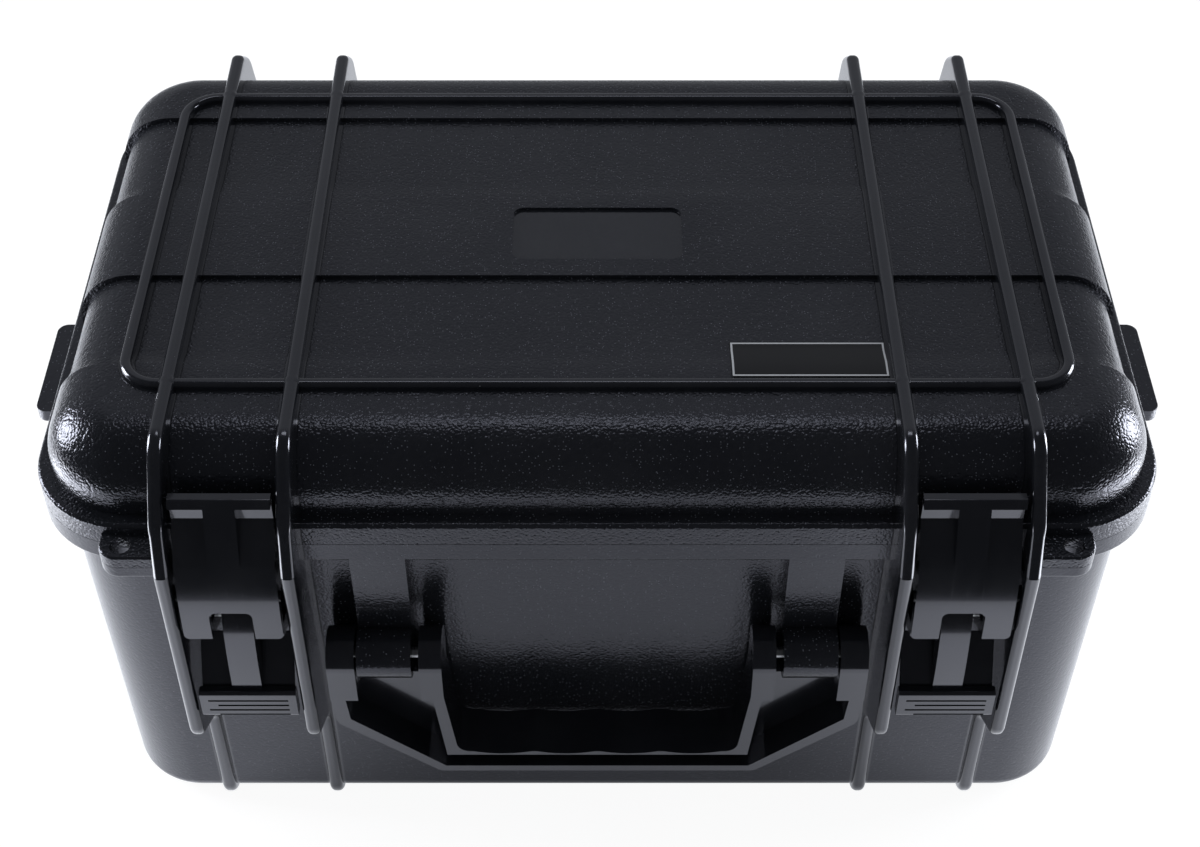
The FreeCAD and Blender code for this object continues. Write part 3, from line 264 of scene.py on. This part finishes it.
foam_finish, place = new_finish("closed_cell_foam")
cell = place.node("ShaderNodeTexVoronoi", {}, {"Vector": place, "Scale": 1 / FOAM_CELL})
pit = cell.rise(0.15, 0.55)
coarse = cloud(place, 0.012)
foam_bump = {"Strength": 0.8, "Distance": 0.00022, "Height": pit * 0.7 + 0.5 * coarse}
# The open cells' hollows are painted darker where the bump sinks them, as painted shade; the coarse cloud adds
# tone that differs at random.
close_finish(place, {
    "Base Color": (pit * 0.6 + 0.4 * coarse).tint(FOAM_GREY_AND_PIT_SHADE, FOAM_RIM_GREY),
    "Roughness": 0.82 + 0.14 * coarse,
    "Normal": place.node("ShaderNodeBump", {}, foam_bump),
})


def rounded_outline(curve, middle, half, corner, turn):
    """Adds a closed line with round corners, anticlockwise for turn 1 and clockwise, as a hole, for -1."""
    points = []
    for quarter in range(4):
        sign_x = (1, -1, -1, 1)[quarter]
        sign_y = (1, 1, -1, -1)[quarter]
        for step in range(CORNER_STEPS + 1):
            angle = math.pi / 2 * (quarter + step / CORNER_STEPS)
            x = middle[0] + sign_x * (half[0] - corner) + corner * math.cos(angle)
            y = middle[1] + sign_y * (half[1] - corner) + corner * math.sin(angle)
            points.append((x, y, 0, 1))
    spline = curve.splines.new("POLY")
    spline.points.add(len(points) - 1)
    for point, spot in zip(spline.points, points[::turn]):
        point.co = spot
    spline.use_cyclic_u = True


def die_cut(name, outlines, low, high):
    """A block of foam between two heights, cut to its outlines with softly rounded edges."""
    curve = bpy.data.curves.new(name, "CURVE")
    curve.dimensions = "2D"
    curve.fill_mode = "BOTH"
    for outline in outlines:
        rounded_outline(curve, *outline)
    curve.extrude = (high - low) / 2 - CUT_ROUND
    curve.bevel_depth = CUT_ROUND
    curve.bevel_resolution = 2
    curve.offset = -CUT_ROUND
    shape = bpy.data.objects.new(name, curve)
    bpy.context.scene.collection.objects.link(shape)
    bpy.context.view_layer.update()
    mesh = bpy.data.meshes.new_from_object(shape.evaluated_get(bpy.context.evaluated_depsgraph_get()))
    bpy.data.objects.remove(shape)
    for vertex in mesh.vertices:
        vertex.co.z += (low + high) / 2
    skin = bmesh.new()
    skin.from_mesh(mesh)
    bmesh.ops.remove_doubles(skin, verts=skin.verts, dist=CUT_WELD)
    bmesh.ops.recalc_face_normals(skin, faces=skin.faces)
    for face in skin.faces:
        face.smooth = True
    for edge in skin.edges:
        edge.smooth = len(edge.link_faces) == 2 and edge.calc_face_angle() < math.radians(CUT_ANGLE)
    skin.to_mesh(mesh)
    skin.free()
    mesh.materials.clear()
    mesh.materials.append(foam_finish)
    mesh.name = name
    piece = bpy.data.objects.new(name, mesh)
    bpy.context.scene.collection.objects.link(piece)
    shading = piece.modifiers.new("flat_faces_lead", "WEIGHTED_NORMAL")
    shading.keep_sharp = True
    return piece


end_low, end_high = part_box("foam_end_right")
rail_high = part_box("foam_rail_rear")[1]
block_half = (end_high.x, rail_high.y)
outlines = [((0, 0), block_half, BLOCK_CORNER, 1)]
for index in range(SLOT_COUNT):
    middle = (SLOT_PITCH * (index - (SLOT_COUNT - 1) / 2), 0)
    outlines.append((middle, (SLOT_SIZE[0] / 2, SLOT_SIZE[1] / 2), SLOT_CORNER, -1))
block = die_cut("slotted_foam", outlines, end_low.z, end_high.z)
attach(block, "base")
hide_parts("foam_rail_front", "foam_rail_rear", "foam_end_left", "foam_end_right")
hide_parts(*(f"foam_divider_{index + 1}" for index in range(SLOT_COUNT - 1)))

sheet_low, sheet_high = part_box("base_foam_pad")
sheet_half = (sheet_high.x - SHEET_INSET, sheet_high.y - SHEET_INSET)
floor_sheet = die_cut("foam_floor_sheet", [((0, 0), sheet_half, BLOCK_CORNER, 1)], sheet_low.z, sheet_high.z)
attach(floor_sheet, "base")
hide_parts("base_foam_pad")


# Pins: cold-drawn steel rod, cropped and lightly tumbled, pressed through the lugs and knuckles. Fine drawing
# lines run round them, so they glint in bands.
STEEL_BRIGHT = (0.62, 0.63, 0.64, 1)
STEEL_DULL = (0.36, 0.365, 0.37, 1)
DRAWN_LINE = 0.0022
DRAWN_SQUEEZE = (9.0, 0.6, 0.6)
TARNISH_PATCH = 0.006

steel_finish, place = new_finish("drawn_steel")
squeezed = place.node("ShaderNodeMapping", {}, {"Vector": place, "Scale": DRAWN_SQUEEZE})
drawn = cloud(squeezed, DRAWN_LINE, 4.0)
tarnish = cloud(place, TARNISH_PATCH)
close_finish(place, {
    "Base Color": (0.7 * drawn + 0.3 * tarnish).rise(0.3, 0.7).tint(STEEL_DULL, STEEL_BRIGHT),
    "Metallic": 1.0,
    "Roughness": 0.2 + 0.22 * drawn,
    "Normal": place.node("ShaderNodeBump", {}, {"Strength": 0.4, "Distance": 0.00002, "Height": drawn}),
})
for side in ("left", "right"):
    moulded(f"{side}_hinge_pin", "base", steel_finish)
    moulded(f"{side}_latch_pin", "base", steel_finish)
    moulded(f"{side}_handle_pin", "base", steel_finish)
    moulded(f"{side}_link_pin", f"{side}_lever", steel_finish)


# Lid shell: a shallow tub of the same plastic, moulded with its ribs, fins and top frame. Its pebble is coarser
# than the base's, and the ribs, the frame and the floor of the small recess are polished.
LID_PEBBLE = 0.0010
LID_RELIEF = 0.00018
FRAME_HALF = (0.1665, 0.0841)
FRAME_SHIFT = 0.0027
FRAME_CORNER = 0.0130
FRAME_REACH = 0.0027
FRAME_LEVEL = 0.2035
RECESS_HALF = (0.0318, 0.0149)
RECESS_SHIFT = 0.00225
RECESS_CORNER = 0.0038
RECESS_LEVEL = 0.2000
RECESS_GLOSS = 0.8
GLOSS_BLEND = 0.0005
RECESS_BLEND = 0.0003
FRAME_FADE = 0.002


def past_outline(x, y, half, corner):
    """How far a spot lies outside a rectangle with round corners, below 0 inside it."""
    over_x, over_y = abs(x) - (half[0] - corner), abs(y) - (half[1] - corner)
    past_x, past_y = over_x.most(0), over_y.most(0)
    spread = past_x * past_x + past_y * past_y
    return spread.math("SQRT", spread) + over_x.most(over_y).least(0) - corner


def on_lid_gloss(x, y, z):
    """1 on the lid's polished ribs, on its rounded frame and in its recess."""
    frame_line = abs(past_outline(x, y - FRAME_SHIFT, FRAME_HALF, FRAME_CORNER))
    on_frame = 1 - frame_line.rise(FRAME_REACH, FRAME_REACH + GLOSS_BLEND)
    on_frame = on_frame * z.rise(FRAME_LEVEL - FRAME_FADE, FRAME_LEVEL)
    in_recess = 1 - past_outline(x, y - RECESS_SHIFT, RECESS_HALF, RECESS_CORNER).rise(0, RECESS_BLEND)
    in_recess = in_recess * z.rise(RECESS_LEVEL - GLOSS_BLEND, RECESS_LEVEL)
    return on_ribs(x).most(on_frame).most(RECESS_GLOSS * in_recess)


lid_finish = pebbled_finish("pebbled_black", LID_PEBBLE, LID_RELIEF, on_lid_gloss)
moulded("lid_shell", "lid", lid_finish)
for side in ("left", "right"):
    moulded(f"{side}_lid_tab", "lid", lid_finish)


# Seal: a strip of black foam rubber, pressed into the groove under the lid. The tongue of the base bites
# into it when the case is shut.
RUBBER_BLACK = (0.012, 0.012, 0.0125, 1)
RUBBER_BLOOM = (0.028, 0.028, 0.029, 1)

rubber_finish, place = new_finish("seal_rubber")
bloom = cloud(place, 0.008)
close_finish(place, {
    "Base Color": bloom.rise(0.3, 0.7).tint(RUBBER_BLACK, RUBBER_BLOOM),
    "Roughness": 0.62 + 0.2 * bloom,
    "Normal": place.node("ShaderNodeBump", {}, {
        "Strength": 0.5, "Distance": 0.00004, "Height": cloud(place, 0.0007, 2.0)}),
})
moulded("lid_seal", "lid", rubber_finish)


# Foam in the lid: convoluted polyurethane, cut to rows of soft peaks that press on what stands in the slots.
# It is glued to the lid's ceiling, and its top edges follow the round of the moulding.
PEAK_PITCH = 0.030
PEAK_RELIEF = 0.013
LID_BLOCK_CORNER = 0.0257
LID_EDGE_ROUND = 0.0183
PEAK_GRID = {"Vertices X": 150, "Vertices Y": 90, "Vertices Z": 12}

lid_foam_low, lid_foam_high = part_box("lid_foam")
tree = bpy.data.node_groups.new("convoluted_foam", "GeometryNodeTree")
tree.interface.new_socket("Foam", in_out="OUTPUT", socket_type="NodeSocketGeometry")
foam_sizes = {
    "Half Length": lid_foam_high.x, "Half Width": lid_foam_high.y, "Corner": LID_BLOCK_CORNER,
    "Bottom": lid_foam_low.z, "Top": lid_foam_high.z, "Pitch": PEAK_PITCH, "Relief": PEAK_RELIEF,
    "Edge Round": LID_EDGE_ROUND,
}
foam_sockets = {}
for name in foam_sizes:
    socket = tree.interface.new_socket(name, in_out="INPUT", socket_type="NodeSocketFloat")
    foam_sockets[name] = socket.identifier
inputs = Read(tree).node("NodeGroupInput")
half_x, half_y, corner, bottom, top, pitch, relief, edge_round = (inputs.other(name) for name in foam_sizes)
grid = inputs.node("GeometryNodeMeshCube", {}, {"Size": (2, 2, 2), **PEAK_GRID})
unit = inputs.node("GeometryNodeInputPosition")
axes = unit.node("ShaderNodeSeparateXYZ", {}, {"Vector": unit})
unit_x, unit_y, unit_z = axes, axes.other(1), axes.other(2)
reach_x, reach_y = abs(unit_x) * half_x, abs(unit_y) * half_y
past_x, past_y = (reach_x - (half_x - corner)).most(0), (reach_y - (half_y - corner)).most(0)
spread = past_x * past_x + past_y * past_y
pull = past_x.most(past_y) / spread.math("SQRT", spread).most(1e-6)
flat_x = unit_x.math("SIGN", unit_x) * (reach_x.least(half_x - corner) + past_x * pull)
flat_y = unit_y.math("SIGN", unit_y) * (reach_y.least(half_y - corner) + past_y * pull)
turn_x, turn_y = flat_x * math.tau / pitch, flat_y * math.tau / pitch
wave = turn_x.math("COSINE", turn_x) * turn_y.math("COSINE", turn_y)
cut = bottom + relief * (0.5 - 0.5 * wave)
height = cut + (top - cut) * (0.5 + 0.5 * unit_z)
climb = ((height - (top - edge_round)) / edge_round).most(0).least(1)
level = (1 - climb * climb).most(0)
inset = edge_round * (1 - level.math("SQRT", level))
spot = unit.node("ShaderNodeCombineXYZ", {}, {
    0: flat_x * (1 - inset / half_x), 1: flat_y * (1 - inset / half_y), 2: height})
shaped = unit.node("GeometryNodeSetPosition", {}, {"Geometry": grid, "Position": spot})
smoothed = shaped.node("GeometryNodeSetShadeSmooth", {}, {"Geometry": shaped})
real = smoothed.node("GeometryNodeRealizeInstances", {}, {"Geometry": smoothed})
dressed = real.node("GeometryNodeSetMaterial", {}, {"Geometry": real, "Material": foam_finish})
dressed.node("NodeGroupOutput", {}, {0: dressed})

foam_mesh = bpy.data.meshes.new("lid_foam_blank")
lid_foam = bpy.data.objects.new("convoluted_lid_foam", foam_mesh)
bpy.context.scene.collection.objects.link(lid_foam)
grow = lid_foam.modifiers.new("convoluted_foam", "NODES")
grow.node_group = tree
for name, value in foam_sizes.items():
    grow[foam_sockets[name]] = value
bpy.context.view_layer.update()
cut_mesh = bpy.data.meshes.new_from_object(lid_foam.evaluated_get(bpy.context.evaluated_depsgraph_get()))
lid_foam.modifiers.remove(grow)
lid_foam.data = cut_mesh
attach(lid_foam, "lid")
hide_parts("lid_foam")


# Name plate: a thin printed plastic plate, stuck over the soft edge of the lid's front band. Its face is bare
# gloss black, with one silver line printed round it.
PLATE_BLACK = (0.0055, 0.0056, 0.0066, 1)
PLATE_SILVER = (0.62, 0.63, 0.64, 1)
LINE_INSET = 0.00035
LINE_WIDTH = 0.00062
LINE_BLUR = 0.00006
SMEAR_PATCH = 0.012

plate_low, plate_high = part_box("name_plate")
plate_finish, place = new_finish("printed_plate")
axes = place.node("ShaderNodeSeparateXYZ", {}, {"Vector": place})
edge_x = (plate_high.x - plate_low.x) / 2 - abs(axes - (plate_low.x + plate_high.x) / 2)
edge_y = (plate_high.y - plate_low.y) / 2 - abs(axes.other(1) - (plate_low.y + plate_high.y) / 2)
from_edge = edge_x.least(edge_y)
line_end = LINE_INSET + LINE_WIDTH
line = from_edge.rise(LINE_INSET - LINE_BLUR, LINE_INSET) * (1 - from_edge.rise(line_end, line_end + LINE_BLUR))
smear = cloud(place, SMEAR_PATCH)
close_finish(place, {
    "Base Color": line.tint(PLATE_BLACK, PLATE_SILVER),
    "Metallic": line * 0.6,
    "Roughness": 0.14 + 0.1 * smear + 0.16 * line,
    "IOR": 1.42,
    "Normal": place.node("ShaderNodeBump", {}, {
        "Strength": 0.35, "Distance": 0.00003, "Height": line + 0.2 * smear}),
})
moulded("name_plate", "lid", plate_finish)


# Latches: each is a lever and a hook of glass-filled nylon, moulded in polished tools. The hook turns on a link
# pin in the lever, and the lever on a pin through the guards. Their seams run down the middle, and a thin web
# slopes from the back of the lever's tab up behind its arm.
LATCH_BLACK = (0.0046, 0.0051, 0.0064, 1)
LATCH_HAZE = (0.0085, 0.0090, 0.0104, 1)
LATCH_MIDDLE = 0.1282
HOOK_SEAM = 0.0054
SEAM_WIDTH = 0.00016
SEAM_HEIGHT = 0.5
RIPPLE_HEIGHT = 0.16
RIPPLE_SIZE = 0.0035
HAZE_PATCH = 0.02
STREAK_WIDTH = 0.004
STREAK_SQUEEZE = (1, 1, 0.2)
LATCH_DUST = (0.0052, 0.16, 0.04)
HOOK_SHARP_ANGLE = 20.0
WEB_HALF = 0.0170
WEB_TOP = (-0.1216, 0.1195)
WEB_FOOT = (-0.1334, 0.1010)
WEB_THICKNESS = 0.0012
WEB_SOFTNESS = 0.0003


def polished_finish(name, seams):
    """Polished black moulding with a soft ripple, faint handling haze and thin seams along its height."""
    finish, place = new_finish(name)
    axes = place.node("ShaderNodeSeparateXYZ", {}, {"Vector": place})
    haze = cloud(place, HAZE_PATCH)
    drawn_out = place.node("ShaderNodeMapping", {}, {"Vector": place, "Scale": STREAK_SQUEEZE})
    streak = cloud(drawn_out, STREAK_WIDTH)
    ripple = cloud(place, RIPPLE_SIZE, 1.0)
    speck = dust_and_glint_specks(place, *LATCH_DUST)
    height = RIPPLE_HEIGHT * ripple
    for seam in seams(abs(axes)):
        height = height + (1 - seam.rise(0.5 * SEAM_WIDTH, SEAM_WIDTH)) * SEAM_HEIGHT
    black = (0.6 * haze + 0.4 * streak).rise(0.35, 0.75).tint(LATCH_BLACK, LATCH_HAZE)
    close_finish(place, {
        "Base Color": speck.tint(black, DUST_GREY),
        "Roughness": 0.10 + 0.07 * haze + 0.04 * streak,
        "IOR": 1.6,
        "Specular Tint": GLOSS_BLUE,
        "Coat Weight": 0.5,
        "Coat Roughness": 0.05,
        "Normal": place.node("ShaderNodeBump", {}, {"Strength": 0.5, "Distance": 0.00006, "Height": height}),
    })
    return finish


hook_finish = polished_finish("latch_gloss_black", lambda across: [
    abs(across - LATCH_MIDDLE), abs(abs(across - LATCH_MIDDLE) - HOOK_SEAM)])
lever_finish = polished_finish("lever_gloss_black", lambda across: [abs(across - LATCH_MIDDLE)])


def lever_web(side, sign):
    """The lever's sloping back, which fills the space between its arm and the guards."""
    corners = []
    for x in (sign * LATCH_MIDDLE - WEB_HALF, sign * LATCH_MIDDLE + WEB_HALF):
        for y, z in (WEB_TOP, WEB_FOOT):
            corners += [(x, y, z), (x, y + WEB_THICKNESS, z - WEB_THICKNESS)]
    sides = [(0, 2, 6, 4), (1, 5, 7, 3), (0, 4, 5, 1), (2, 3, 7, 6), (0, 1, 3, 2), (4, 6, 7, 5)]
    mesh = bpy.data.meshes.new(side + "_lever_web")
    mesh.from_pydata(corners, [], sides)
    mesh.materials.append(lever_finish)
    web = bpy.data.objects.new(side + "_lever_web", mesh)
    bpy.context.scene.collection.objects.link(web)
    soften = web.modifiers.new("soft_edges", "BEVEL")
    soften.width, soften.segments = WEB_SOFTNESS, 2
    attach(web, f"{side}_lever")


for side, sign in (("left", -1), ("right", 1)):
    moulded(f"{side}_latch_lever", f"{side}_lever", lever_finish)
    lever_web(side, sign)
    moulded(f"{side}_latch_hook", f"{side}_hook", hook_finish, sharp=HOOK_SHARP_ANGLE)


# Handle: a channel-shaped loop of the same nylon, hung on two short pins. Its front rims catch the light, and
# the grip's top is waved for four fingers.
handle_finish = polished_finish("handle_gloss_black", lambda across: [])
moulded("handle", "handle", handle_finish)


# Floor: a sheet of white paper on a table. The camera sees it white, and it keeps a faint shadow under the
# case. Upright faces mirror it through a glow that only gloss rays see, painted light that is brighter at both
# ends of the case than before and behind it.
PAPER_LOW = (-0.80, -0.385)
PAPER_HIGH = (0.80, 0.70)
PAPER_WHITE = (0.76, 0.76, 0.76, 1)
PAPER_SHADED = (0.12, 0.12, 0.12, 1)
FRONT_SHARE = 0.24
FRONT_EDGE = 0.05
SIDE_EDGE = 0.21
BACK_SHARE = 0.3
BACK_EDGES = (0.12, 0.28)
PAPER_GLOW = 0.93
DAYLIGHT = (0.90, 0.93, 1.0, 1)
CLEAN_WHITE = (1, 1, 1, 1)

floor_mesh = bpy.data.meshes.new("paper_floor")
corners = [(PAPER_LOW[0], PAPER_LOW[1], 0), (PAPER_HIGH[0], PAPER_LOW[1], 0),
           (PAPER_HIGH[0], PAPER_HIGH[1], 0), (PAPER_LOW[0], PAPER_HIGH[1], 0)]
floor_mesh.from_pydata(corners, [], [(0, 1, 2, 3)])
floor = bpy.data.objects.new("paper_floor", floor_mesh)
bpy.context.scene.collection.objects.link(floor)


def ray_kinds(place):
    """1 for rays straight from the camera, and 1 for those that a gloss or glass sends on."""
    path = place.node("ShaderNodeLightPath")
    return path.other("Is Camera Ray"), path.other("Is Glossy Ray").most(path.other("Is Transmission Ray"))


paper, place = new_finish("white_paper")
camera_ray, mirrored = ray_kinds(place)
axes = place.node("ShaderNodeSeparateXYZ", {}, {"Vector": place})
# Painted light and shade on the paper's glow for gloss rays: full beyond both ends of the case, dimmed in the
# band before and behind it, and dimmed again further back.
painted_light_at_ends = FRONT_SHARE + (1 - FRONT_SHARE) * abs(axes).rise(FRONT_EDGE, SIDE_EDGE)
painted_shade_behind = 1 - (1 - BACK_SHARE) * axes.other(1).rise(*BACK_EDGES)
seen = camera_ray.most(mirrored * painted_light_at_ends * painted_shade_behind)
lit = place.node("ShaderNodeBsdfDiffuse", {}, {"Color": camera_ray.tint(PAPER_WHITE, PAPER_SHADED)})
glow = place.node("ShaderNodeEmission", {}, {
    "Color": camera_ray.tint(DAYLIGHT, CLEAN_WHITE), "Strength": PAPER_GLOW})
bright = place.node("ShaderNodeAddShader", {}, {0: glow, 1: lit})
surface = place.node("ShaderNodeMixShader", {}, {0: seen, 1: lit, 2: bright})
place.node("ShaderNodeOutputMaterial", {}, {"Surface": surface})
floor_mesh.materials.append(paper)


# Studio: one soft box overhead, and at each end of the case one that stands and one that lies on the paper.
# They edge the corners and ribs with light, in a dark room with a pale back wall. Upright faces pick up the
# white paper and the rest stays black. The camera looks down at about 45 degrees.
CAMERA_PLACE = (0.001, -0.5836, 0.6897)
CAMERA_TILT = math.radians(44.94)
CAMERA_LENS = 59.92
CAMERA_SENSOR = 36
ROOM_DARK = 0.045
ROOM_BACK = 0.30
WALL_EDGES = (0.2, 0.7)
ROOM_LIGHT = 0.54
SOFT_BOXES = {
    "overhead_box": ((0.0, 0.35, 1.45), (0.0, 0.0, 0.15), (0.7, 0.2), 1.3),
    "left_box": ((-0.75, 0.06, 0.34), (-0.10, 0.0, 0.18), (0.24, 0.34), 4.6),
    "right_box": ((0.75, 0.12, 0.27), (0.10, 0.0, 0.18), (0.24, 0.34), 4.6),
    "left_panel": ((-0.46, -0.14, 0.002), (-0.46, -0.14, 1.0), (0.16, 0.32), 1.0),
    "right_panel": ((0.46, -0.14, 0.002), (0.46, -0.14, 1.0), (0.16, 0.32), 1.0),
}

world = bpy.data.worlds.new("dark_room")
bpy.context.scene.world = world
world.use_nodes = True
world.node_tree.nodes.clear()
ray = Read(world.node_tree).node("ShaderNodeTexCoord", output="Generated")
axes = ray.node("ShaderNodeSeparateXYZ", {}, {"Vector": ray})
camera_ray, mirrored = ray_kinds(ray)
wall = ROOM_DARK + (ROOM_BACK - ROOM_DARK) * axes.other(1).rise(*WALL_EDGES)
light = mirrored * wall + (1 - mirrored) * ROOM_LIGHT
background = ray.node("ShaderNodeBackground", {}, {
    "Color": camera_ray.tint(DAYLIGHT, CLEAN_WHITE), "Strength": camera_ray + (1 - camera_ray) * light})
ray.node("ShaderNodeOutputWorld", {}, {"Surface": background})

for name, (spot, target, extent, power) in SOFT_BOXES.items():
    lamp = bpy.data.lights.new(name, "AREA")
    lamp.shape = "RECTANGLE"
    lamp.size, lamp.size_y = extent
    lamp.energy = power
    lamp.color = DAYLIGHT[:3]
    box = bpy.data.objects.new(name, lamp)
    box.location = spot
    bpy.context.scene.collection.objects.link(box)
    heading = [b - a for a, b in zip(spot, target)]
    level = math.hypot(heading[0], heading[1])
    box.rotation_euler = (math.atan2(level, -heading[2]), 0, math.atan2(-heading[0], heading[1]))

camera = bpy.data.objects.new("photo_camera", bpy.data.cameras.new("photo_camera"))
camera.data.sensor_width = CAMERA_SENSOR
camera.data.lens = CAMERA_LENS
camera.location = CAMERA_PLACE
camera.rotation_euler = (CAMERA_TILT, 0, 0)
bpy.context.scene.collection.objects.link(camera)
bpy.context.scene.camera = camera
bpy.context.scene.view_settings.view_transform = "Standard"
